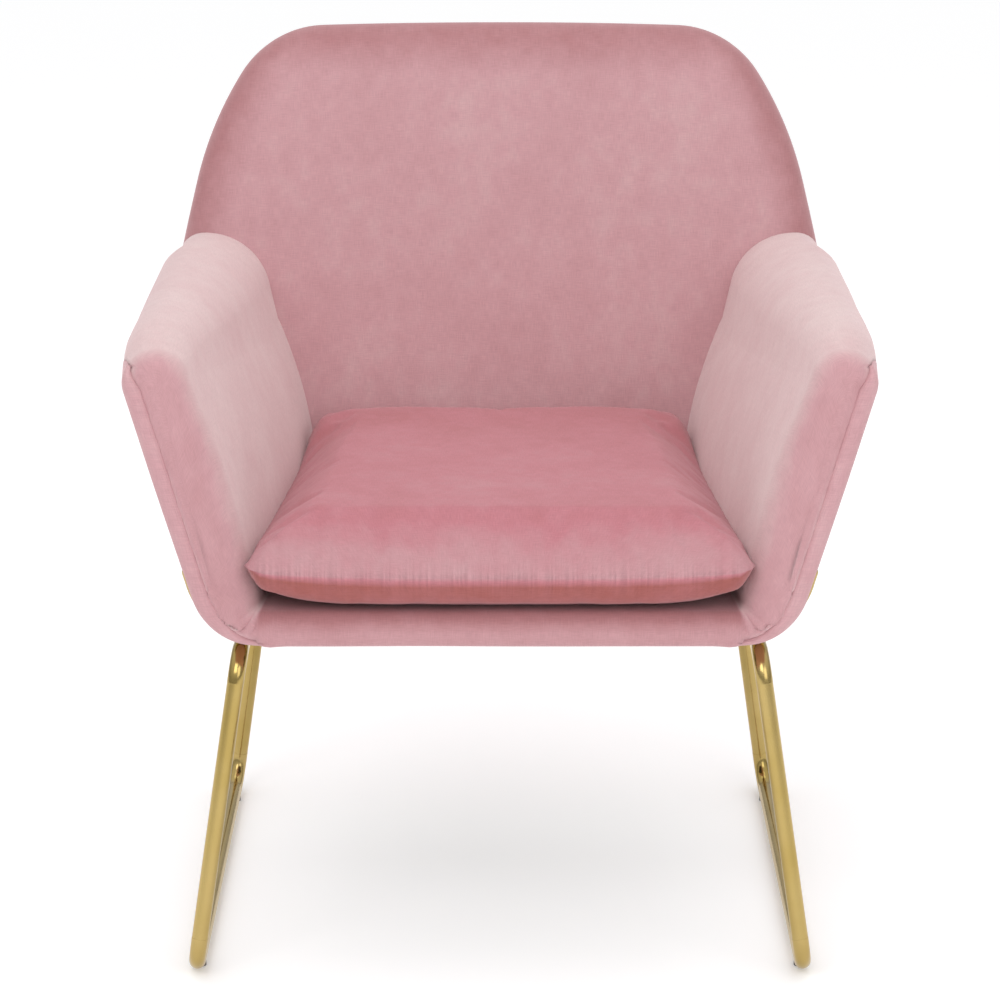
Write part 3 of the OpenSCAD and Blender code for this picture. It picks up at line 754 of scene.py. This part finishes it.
def uneven(piece, points, amount, size, seed):
    """Moves the points slightly forwards and backwards."""
    moved = points.copy()
    for i, p in enumerate(points):
        moved[i, 1] += amount * noise.noise(Vector(p) / size + Vector((seed, 0, seed)))
    piece.data.vertices.foreach_set("co", moved.ravel())
    return moved


def border_painted_shade(points, reach):
    """Painted shade on the backrest's rolled border: 1 at the outline, 0 further in than reach."""
    half = np.vectorize(back_half)(points[:, 2])
    side = half - np.abs(points[:, 0])
    upper = TOP - points[:, 2]
    return 1 - smooth(np.minimum(side, upper) / reach)


def inner_back():
    angles = np.linspace(-SEAM_BEHIND, math.pi / 2, BAND_N)
    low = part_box("inner_back_cover")[0].z
    band, panel = back_shape(-1, angles, 0.006, low, hidden=0.005)
    down = np.array([0, -BACK_SLOPE, -1])
    drop = panel[0][:, 2] - (DECK - 0.006)
    hem = np.array([panel[0] + drop[:, None] * t * down for t in (0, 0.33, 0.67, 1)])
    piece, points = join_back("inner_back", band, panel, hem, flip=False)
    points = uneven(piece, points, 0.0010, 0.12, 2.0)
    set_painted_light(piece, border_painted_shade(points, 0.055))
    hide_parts("inner_back_cover", "back_foam")
    return piece


HEM_R = 0.010
HEM = 0.014


def hem_radius(x):
    """Small along the middle, and the backrest's own radius at the corners."""
    start = 0.196
    return HEM_R + (BACK_R - HEM_R) * float(smooth((abs(x) - start) / (BOTTOM_HALF - start)))


def rear_hem_point(step, x):
    a, under = step
    r = hem_radius(x)
    z = BOTTOM + r * (1 - math.cos(a)) + (BACK_R - r) * math.sin(a) ** 8
    return [x, back_mid(x, z) + BACK_R - r + r * math.sin(a) - under, z]


def rear_hem():
    """The outer back's bottom edge, which rolls under the shell: rows down, columns from +X to -X."""
    turns = [(a, 0.0) for a in np.linspace(math.pi / 2, 0, 15)] + [(0.0, HEM / 2), (0.0, HEM)]
    return np.array(rows_of(turns, np.linspace(BOTTOM_HALF, -BOTTOM_HALF, TOP_N), rear_hem_point))


def add_rows(points, faces, first, grid):
    """Adds a grid below the row of points numbered in first."""
    start, cols = len(points), len(first)
    faces.extend(grid_faces(grid.shape[0], cols, start))
    faces.extend((first[i], first[i + 1], start + i + 1, start + i) for i in range(cols - 1))
    points.extend(grid.reshape(-1, 3))


def outer_back():
    angles = np.linspace(SEAM_BEHIND, math.pi / 2, 9)
    band, panel = back_shape(1, angles, 0.003, BOTTOM)
    piece, points = join_back("outer_back", band, panel, rear_hem(), flip=True)
    points = uneven(piece, points, 0.0009, 0.13, 5.0)
    set_painted_light(piece, np.zeros(len(points)))
    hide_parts("outer_back_cover")
    return piece


# ---- Loose cushion ----
def cushion_half(y):
    return inner_x(y, CUSHION_SEAM) - CUSHION_GAP


EIGHTH = [math.pi / 4 * i / 5 for i in range(6)]


def end_line(y, inward):
    """The seam along one end, from corner to corner; inward is 1 at the front and -1 at the rear."""
    r = CUSHION_R
    centre = cushion_half(y) - r
    half = [(centre + r * math.sin(a), y + inward * (r - r * math.cos(a))) for a in EIGHTH[::-1]]
    half = np.array(half + [(x, y) for x in np.linspace(centre, 0, 40)[1:]])
    return np.concatenate([half * np.array([-1, 1]), half[-2::-1]])


def side_line():
    """The seam along the +X side, from the front corner to the rear one."""
    r, f, b = CUSHION_R, CUSHION_FRONT, CUSHION_BACK
    at_front, at_back = cushion_half(f) - r, cushion_half(b) - r
    line = [(at_front + r * math.cos(a), f + r - r * math.sin(a)) for a in EIGHTH[::-1]]
    line += [(cushion_half(y), y) for y in np.linspace(f + r, b - r, 60)[1:-1]]
    line += [(at_back + r * math.cos(a), b - r + r * math.sin(a)) for a in EIGHTH]
    return np.array(line)


def cushion_edge():
    """The seam in plan as four edges: front, back, left (-X) and right, corner to corner."""
    n_across, n_along = 110, 104
    right = side_line()
    return (resample(end_line(CUSHION_FRONT, 1), n_across),
            resample(end_line(CUSHION_BACK, -1), n_across),
            resample(right * np.array([-1, 1]), n_along), resample(right, n_along))


def swell(distance, reach, power):
    """0 at the seam, 1 from reach inwards, steepest at the seam."""
    return 1 - (1 - np.clip(distance / reach, 0, 1)) ** power


def seam_height(x):
    """The seam sags a little in the middle of the front and rises to the corners."""
    return CUSHION_SEAM + 0.001 + 0.006 * np.clip(np.abs(x) / 0.235, 0, 1) ** 3


def cushion_profile(plan, distance, top):
    """Heights of the top or bottom panel: full in the middle, thin at the corners."""
    x, y = plan[:, :, 0], plan[:, :, 1]
    side, end = edge_distances(x, y)
    seam = seam_height(x)
    corner_reach = 0.065
    corner = np.exp(-((np.maximum(side, 0) + np.maximum(end, 0)) / corner_reach) ** 2)
    if top:
        rear = smooth((y - 0.02) / 0.08)
        reach = 0.070 - 0.044 * rear
        rise = (CUSHION_HIGH - seam) * (1 - 0.16 * corner) * (1 - 0.06 * (1 - rear))
        return seam + rise * swell(distance, reach, 2.6)
    hang = swell(distance, 0.016, 2.2) * 0.62 + swell(distance, 0.095, 1.6) * 0.38
    return seam - (seam - CUSHION_LOW) * hang * (1 - 0.45 * corner)


def edge_distances(x, y):
    """Distances to the side of the cushion and to its nearer end."""
    side = cushion_half(y) - np.abs(x)
    return side, np.minimum(y - CUSHION_FRONT, CUSHION_BACK - y)


def plan_distance(plan):
    """Distance to the seam, in plan."""
    side, end = edge_distances(plan[:, :, 0], plan[:, :, 1])
    r = CUSHION_R
    inside = np.minimum(side, end)
    round_in = r - np.hypot(np.maximum(r - side, 0), np.maximum(r - end, 0))
    return np.where((side < r) & (end < r), round_in, inside)


def cushion_mesh():
    """Top panel, then bottom panel, which share the points of the seam."""
    front, back, left, right = cushion_edge()
    plan = coons(front, back, left, right)
    h, w = plan.shape[:2]
    edge = np.ones((h, w), bool)
    edge[1:-1, 1:-1] = False
    distance = np.where(edge, 0, np.maximum(plan_distance(plan), 0))
    heights = {top: cushion_profile(plan, distance, top) for top in (True, False)}
    ids = {True: np.arange(h * w).reshape(h, w)}
    ids[False] = ids[True].copy()
    ids[False][~edge] = h * w + np.arange((h - 2) * (w - 2))
    upper = np.dstack([plan, heights[True]]).reshape(-1, 3)
    lower = np.dstack([plan, heights[False]])[~edge]
    quads = np.array(grid_faces(h, w))
    faces = quads.tolist() + ids[False].ravel()[quads][:, ::-1].tolist()
    return np.concatenate([upper, lower]), faces, distance, ids, edge


def simulate_cushion(piece, points, seam, lower):
    """Inflates the slightly slack cover between its seams, which are held."""
    group = piece.vertex_groups.new(name="seam")
    group.add([int(i) for i in np.flatnonzero(seam)], 1.0, "REPLACE")
    modifier = piece.modifiers.new("fill", "CLOTH")
    settings = modifier.settings
    settings.quality = 6
    settings.mass = 0.25
    settings.tension_stiffness = 18
    settings.compression_stiffness = 12
    settings.shear_stiffness = 6
    settings.bending_stiffness = 0.4
    settings.vertex_group_mass = "seam"
    settings.use_pressure = True
    settings.uniform_pressure_force = PRESSURE
    settings.shrink_min = -SLACK
    settings.effector_weights.gravity = 0
    modifier.collision_settings.use_collision = False
    scene = bpy.context.scene
    for step_frame in range(1, SIM_FRAMES + 1):
        scene.frame_set(step_frame)
    shaped = piece.evaluated_get(bpy.context.evaluated_depsgraph_get())
    moved = np.zeros(len(points) * 3)
    shaped.data.vertices.foreach_get("co", moved)
    piece.modifiers.remove(modifier)
    scene.frame_set(1)
    step = moved.reshape(-1, 3) - points
    step[lower] *= LOWER_SWELL
    length = np.linalg.norm(step, axis=1, keepdims=True)
    return points + step * np.minimum(1, SWELL_CAP / np.maximum(length, 1e-9))


def pucker_cushion(points, ids, distance, edge):
    """Small gathers beside the seam, stronger near the corners."""
    h, w = edge.shape
    for top in (True, False):
        for j, i in np.argwhere(~edge & (distance <= 0.05)):
            d, at = distance[j, i], ids[top][j, i]
            x, y, _ = points[at]
            if min(i, w - 1 - i) < min(j, h - 1 - j):
                along, out = y, np.array([math.copysign(1, x), 0, 0])
            else:
                along, out = x, np.array([0, -1 if j < h / 2 else 1, 0])
            near_corner = min(1.0, 0.4 + max(0, abs(x) - 0.12) / 0.10)
            wave = noise.noise(Vector((along / PUCKER_PITCH, 3.0 + top, 0)))
            fade = math.exp(-d / 0.010) * (1 - math.exp(-d / 0.002))
            up = np.array([0, 0, 1 if top else -1])
            points[at] += (out + up) * PUCKER * near_corner * fade * wave
    return points


def sew_edge(points, distance_at):
    """A shallow valley just inside the seam, where the stitching pulls the cloth down."""
    depth, middle, reach = 0.0010, 0.003, 0.0018
    pull = depth * np.exp(-((distance_at - middle) / reach) ** 2)
    points[:, 2] += np.where(points[:, 2] > CUSHION_SEAM, -pull, pull)
    return points


def cushion_uv_shade_gathers(piece, points, lower, distance_at):
    """The weave's directions, painted light and shade, and where the front seam gathers the cloth."""
    fall = CUSHION_HIGH - points[:, 2]
    set_cloth_uv(piece, np.stack([points[:, 0] * (1 + fall / 0.2), points[:, 1] - fall], axis=1))
    behind = points[:, 1] - CUSHION_FRONT
    front = 1 - smooth(behind / 0.05)
    rear = smooth((points[:, 1] + 0.10) / 0.22)
    # Painted shade on the lower panel's front, a painted highlight along the top's front edge, and
    # painted shade towards the top's rear.
    set_painted_light(piece, np.where(lower, front, 0.22 * rear - 0.50 * front))
    set_values(piece, "gather", (1 - smooth(behind / 0.03)) * np.exp(-distance_at / 0.0055))


def loose_cushion():
    points, faces, distance, ids, edge = cushion_mesh()
    piece = put_mesh("seat_cushion_cover", points, faces, "seat_cushion")
    distance_at = np.zeros(len(points))
    for top in (True, False):
        distance_at[ids[top].ravel()] = distance.ravel()
    lower = points[:, 2] < seam_height(points[:, 0]) - 1e-6
    points = simulate_cushion(piece, points, distance_at < 1e-9, lower)
    points = sew_edge(points, distance_at)
    points = pucker_cushion(points, ids, distance, edge)
    points[:, 2] = np.maximum(points[:, 2], CUSHION_LOW)
    piece.data.vertices.foreach_set("co", points.ravel())
    cushion_uv_shade_gathers(piece, points, lower, distance_at)
    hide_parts("cushion_top_cover", "cushion_bottom_cover", "cushion_foam")
    return piece


# ---- Materials ----
class Nodes:
    """Short calls for building a node tree."""

    def __init__(self, name):
        self.material = bpy.data.materials.new(name)
        self.material.use_nodes = True
        self.tree = self.material.node_tree
        self.shader = next(n for n in self.tree.nodes if n.type == "BSDF_PRINCIPLED")

    def add(self, kind, **settings):
        node = self.tree.nodes.new(kind)
        for key, value in settings.items():
            setattr(node, key, value)
        return node

    def link(self, out, into):
        self.tree.links.new(out, into)

    def mapped(self, source, scale):
        node = self.add("ShaderNodeMapping")
        self.link(source, node.inputs["Vector"])
        node.inputs["Scale"].default_value = scale
        return node.outputs["Vector"]

    def noise(self, vector, scale, detail=2.0, roughness=0.5):
        node = self.add("ShaderNodeTexNoise")
        self.link(vector, node.inputs["Vector"])
        node.inputs["Scale"].default_value = scale
        node.inputs["Detail"].default_value = detail
        node.inputs["Roughness"].default_value = roughness
        return node.outputs["Fac"]

    def math(self, operation, a, b):
        node = self.add("ShaderNodeMath", operation=operation)
        for socket, value in zip(node.inputs, (a, b)):
            if isinstance(value, (int, float)):
                socket.default_value = value
            else:
                self.link(value, socket)
        return node.outputs[0]

    def spread(self, value, low, high, out_low=0.0, out_high=1.0):
        node = self.add("ShaderNodeMapRange")
        self.link(value, node.inputs["Value"])
        ends = {"From Min": low, "From Max": high, "To Min": out_low, "To Max": out_high}
        for key, number in ends.items():
            node.inputs[key].default_value = number
        return node.outputs["Result"]

    def mix(self, share, a, b):
        node = self.add("ShaderNodeMix", data_type="RGBA")
        self.link(share, node.inputs["Factor"])
        for socket, value in ((node.inputs[6], a), (node.inputs[7], b)):
            if isinstance(value, tuple):
                socket.default_value = (*value, 1)
            else:
                self.link(value, socket)
        return node.outputs[2]

    def bump(self, height, distance, strength=1.0):
        node = self.add("ShaderNodeBump")
        node.inputs["Distance"].default_value = distance
        node.inputs["Strength"].default_value = strength
        self.link(height, node.inputs["Height"])
        self.link(node.outputs["Normal"], self.shader.inputs["Normal"])

    def set(self, **values):
        for key, value in values.items():
            self.shader.inputs[key.replace("_", " ")].default_value = value


def pile(n, place, tone, shade_and_cloud_dark, sheen_and_cloud_light):
    """A colour between the tone and its dark or light copy, led by painted shade and sheen and by random
    clouds of brushed pile, and how brushed each place is.
    """
    clouds = n.noise(n.mapped(place, (13, 13, 9)), 1.0, 5.0, 0.6)
    patches = n.noise(n.mapped(place, (60, 60, 45)), 1.0, 3.0, 0.5)
    brushed = n.math("ADD", n.math("MULTIPLY", clouds, 0.6), n.math("MULTIPLY", patches, 0.4))
    painted_light = n.add("ShaderNodeAttribute", attribute_name="painted_light").outputs["Fac"]
    painted_light_and_clouds = n.math("ADD", painted_light, n.spread(brushed, 0.3, 0.7, 0.22, -0.22))
    colour = n.mix(n.spread(painted_light_and_clouds, 0.0, 1.0), tone, shade_and_cloud_dark)
    return n.mix(n.spread(painted_light_and_clouds, 0.0, -1.0), colour, sheen_and_cloud_light), brushed


def weave(n):
    """Slubs of a plain weave, along and across the cloth."""
    cloth = n.add("ShaderNodeUVMap", uv_map="cloth").outputs["UV"]
    weft = n.noise(n.mapped(cloth, (90, 1300, 1)), 1.0, 3.0)
    warp = n.noise(n.mapped(cloth, (1300, 90, 1)), 1.0, 3.0)
    return n.math("ADD", n.math("MULTIPLY", weft, 0.5), n.math("MULTIPLY", warp, 0.5))


def gathers(n, place):
    """Fine folds, -1 to 1, where the attribute says that a seam gathers the cloth."""
    folds = n.noise(n.mapped(place, (420, 9, 9)), 1.0, 1.0)
    share = n.add("ShaderNodeAttribute", attribute_name="gather").outputs["Fac"]
    return n.math("MULTIPLY", share, n.spread(folds, 0.35, 0.65, -1.0, 1.0))


def velvet(name, tone, shade_and_cloud_dark, sheen_and_cloud_light, sheen):
    """Short-pile cloth: a weave, gathers at a seam with painted shade and highlight on their folds,
    clouds of brushed pile, painted light and shade from the attribute, and sheen.
    """
    n = Nodes(name)
    place = n.add("ShaderNodeTexCoord").outputs["Object"]
    colour, brushed = pile(n, place, tone, shade_and_cloud_dark, sheen_and_cloud_light)
    threads, gathered = weave(n), gathers(n, place)
    # The weave's threads vary the colour; the gathers add painted shade and highlight along their folds.
    threads_and_painted_folds = n.spread(threads, 0.36, 0.64, 0.90, 1.07)
    threads_and_painted_folds = n.math("ADD", threads_and_painted_folds, n.math("MULTIPLY", gathered, 0.10))
    scaled = n.add("ShaderNodeVectorMath", operation="SCALE")
    n.link(colour, scaled.inputs[0])
    n.link(threads_and_painted_folds, scaled.inputs["Scale"])
    n.link(scaled.outputs[0], n.shader.inputs["Base Color"])
    n.link(n.spread(brushed, 0.3, 0.7, 0.95, 0.80), n.shader.inputs["Roughness"])
    n.set(Sheen_Weight=sheen, Sheen_Roughness=0.45, Sheen_Tint=(1.0, 0.80, 0.82, 1),
          Specular_IOR_Level=0.15)
    n.bump(n.math("ADD", threads, n.math("MULTIPLY", gathered, 0.45)), 0.0006, 0.6)
    return n.material


def gold_metal():
    n = Nodes("gold_plating")
    place = n.add("ShaderNodeTexCoord").outputs["Object"]
    drawn = n.noise(n.mapped(place, (900, 900, 30)), 1.0, 2.0)
    haze = n.noise(n.mapped(place, (14, 14, 14)), 1.0, 3.0)
    colour = n.mix(n.spread(haze, 0.35, 0.65), (0.43, 0.31, 0.10), (0.50, 0.37, 0.145))
    n.link(colour, n.shader.inputs["Base Color"])
    n.link(n.spread(haze, 0.3, 0.7, 0.16, 0.24), n.shader.inputs["Roughness"])
    n.set(Metallic=1.0)
    n.bump(drawn, 0.00005, 0.25)
    return n.material


def plain_grain(name, dark, light, scale, roughness, metallic=0.0):
    """Two-tone grain for the parts inside and under the chair."""
    n = Nodes(name)
    place = n.add("ShaderNodeTexCoord").outputs["Object"]
    grain = n.noise(n.mapped(place, scale), 1.0, 4.0, 0.6)
    n.link(n.mix(n.spread(grain, 0.35, 0.65), dark, light), n.shader.inputs["Base Color"])
    rougher = min(1.0, roughness + 0.15)
    n.link(n.spread(grain, 0.3, 0.7, roughness, rougher), n.shader.inputs["Roughness"])
    n.set(Metallic=metallic)
    n.bump(grain, 0.0002, 0.5)
    return n.material


def give(piece, material):
    """Makes this the piece's only material."""
    piece.data.materials.clear()
    piece.data.materials.append(material)


def dress_cad_nodes(materials):
    """Gives each CAD node the material of its slot."""
    for entry in frame["record"]["subparts"]:
        material = materials.get(entry["material_slot"])
        if material is not None:
            give(frame["nodes"][entry["node"]], material)


# ---- Stage, light and camera ----
def stage_floor():
    mesh = bpy.data.meshes.new("floor")
    half = 12.0
    corners = [(-half, -half, 0), (half, -half, 0), (half, half, 0), (-half, half, 0)]
    mesh.from_pydata(corners, [], [(0, 1, 2, 3)])
    floor = bpy.data.objects.new("floor", mesh)
    bpy.context.scene.collection.objects.link(floor)
    n = Nodes("pale_floor")
    n.set(Base_Color=(0.93, 0.93, 0.935, 1), Roughness=1.0, Specular_IOR_Level=0.0,
          Emission_Color=(1, 1, 1, 1), Emission_Strength=0.24)
    give(floor, n.material)


def soft_box(name, place, size, power, look_at=(0, 0, 0.5)):
    data = bpy.data.lights.new(name, "AREA")
    data.shape = "RECTANGLE"
    data.size, data.size_y = size
    data.energy = power
    lamp = bpy.data.objects.new(name, data)
    lamp.location = place
    lamp.rotation_euler = (Vector(look_at) - Vector(place)).to_track_quat("-Z", "Y").to_euler()
    bpy.context.scene.collection.objects.link(lamp)


def studio_world():
    """Soft white light, weaker from below, in front of a plain white backdrop."""
    world = bpy.data.worlds.new("studio")
    bpy.context.scene.world = world
    world.use_nodes = True
    tree = world.node_tree
    light, out = tree.nodes["Background"], tree.nodes["World Output"]
    place = tree.nodes.new("ShaderNodeTexCoord")
    split = tree.nodes.new("ShaderNodeSeparateXYZ")
    ramp = tree.nodes.new("ShaderNodeMapRange")
    backdrop = tree.nodes.new("ShaderNodeBackground")
    path = tree.nodes.new("ShaderNodeLightPath")
    mix = tree.nodes.new("ShaderNodeMixShader")
    for key, number in {"From Min": -0.05, "From Max": 0.55, "To Min": 0.30, "To Max": 0.85}.items():
        ramp.inputs[key].default_value = number
    for background in (light, backdrop):
        background.inputs["Color"].default_value = (1, 1, 1, 1)
    backdrop.inputs["Strength"].default_value = 1.0
    for source, target in ((place.outputs["Generated"], split.inputs[0]),
                           (split.outputs["Z"], ramp.inputs["Value"]),
                           (ramp.outputs["Result"], light.inputs["Strength"]),
                           (path.outputs["Is Camera Ray"], mix.inputs["Fac"]),
                           (light.outputs[0], mix.inputs[1]),
                           (backdrop.outputs[0], mix.inputs[2]),
                           (mix.outputs[0], out.inputs["Surface"])):
        tree.links.new(source, target)


def camera():
    """Straight in front of the chair, a little above it, looking slightly down."""
    look_down = math.radians(15.13)
    data = bpy.data.cameras.new("camera")
    data.sensor_width = 36
    data.lens = 125.3
    cam = bpy.data.objects.new("camera", data)
    cam.location = (0, -3.409, 1.308)
    cam.rotation_euler = (math.pi / 2 - look_down, 0, 0)
    bpy.context.scene.collection.objects.link(cam)
    bpy.context.scene.camera = cam


camera()
stage_floor()
studio_world()
soft_box("key", (-0.9, -2.6, 2.6), (2.2, 1.6), 26)
soft_box("fill", (1.4, -2.4, 1.6), (1.6, 1.6), 12)
soft_box("over", (0, 0.3, 2.8), (2.4, 2.4), 14)
bpy.context.scene.view_settings.view_transform = "Standard"

# One velvet in two copies: the seat's is darker and less sheeny, painted shade for how its pile takes the
# light. The dark and light tones carry painted shade and painted sheen as well as random clouds.
shell_cloth = velvet("velvet_shell", tone=(0.565, 0.32, 0.342), shade_and_cloud_dark=(0.40, 0.18, 0.19),
                     sheen_and_cloud_light=(0.69, 0.54, 0.53), sheen=0.50)
seat_cloth_shaded_copy = velvet("velvet_seat_painted_shade", tone=(0.49, 0.192, 0.222), shade_and_cloud_dark=(0.34, 0.105, 0.095),
                    sheen_and_cloud_light=(0.53, 0.34, 0.355), sheen=0.30)

front_cover = inner_cover()
side_left = side_cover("side_cover_left", 1)
side_right = side_cover("side_cover_right", -1)
back_front = inner_back()
back_rear = outer_back()
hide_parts("left_side_cover")
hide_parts("right_side_cover")
cushion = loose_cushion()
for piece in (front_cover, side_left, side_right, back_front, back_rear):
    give(piece, shell_cloth)
give(cushion, seat_cloth_shaded_copy)

# Two tones, the grain's scale along X, Y and Z, the roughness and, for a metal, 1.0
gold = gold_metal()
BLACK, SOOT = (0.02, 0.02, 0.02), (0.035, 0.035, 0.035)
dress_cad_nodes({
    "metal": gold,
    "zip_metal": gold,
    "glides": plain_grain("black_plastic", BLACK, SOOT, (300, 300, 300), 0.5),
    "fasteners": plain_grain("zinc", (0.50, 0.51, 0.53), (0.66, 0.67, 0.69), (60, 60, 60), 0.28, 1.0),
    "timber": plain_grain("timber", (0.46, 0.30, 0.15), (0.66, 0.48, 0.28), (6, 60, 60), 0.6),
    "plywood": plain_grain("plywood", (0.50, 0.35, 0.19), (0.70, 0.53, 0.33), (8, 70, 8), 0.6),
    "webbing": plain_grain("webbing", (0.02, 0.02, 0.022), (0.05, 0.05, 0.055), (700, 700, 20), 0.8),
    "foam": plain_grain("foam", (0.72, 0.68, 0.56), (0.86, 0.83, 0.73), (400, 400, 400), 0.9),
    "velvet": shell_cloth,
    "dust_cloth": plain_grain("dust_cloth", (0.015, 0.015, 0.016), (0.035, 0.035, 0.037),
                              (500, 500, 500), 0.85),
    "zip_tape": plain_grain("zip_tape", (0.30, 0.10, 0.12), (0.45, 0.19, 0.22), (900, 60, 900), 0.7),
})
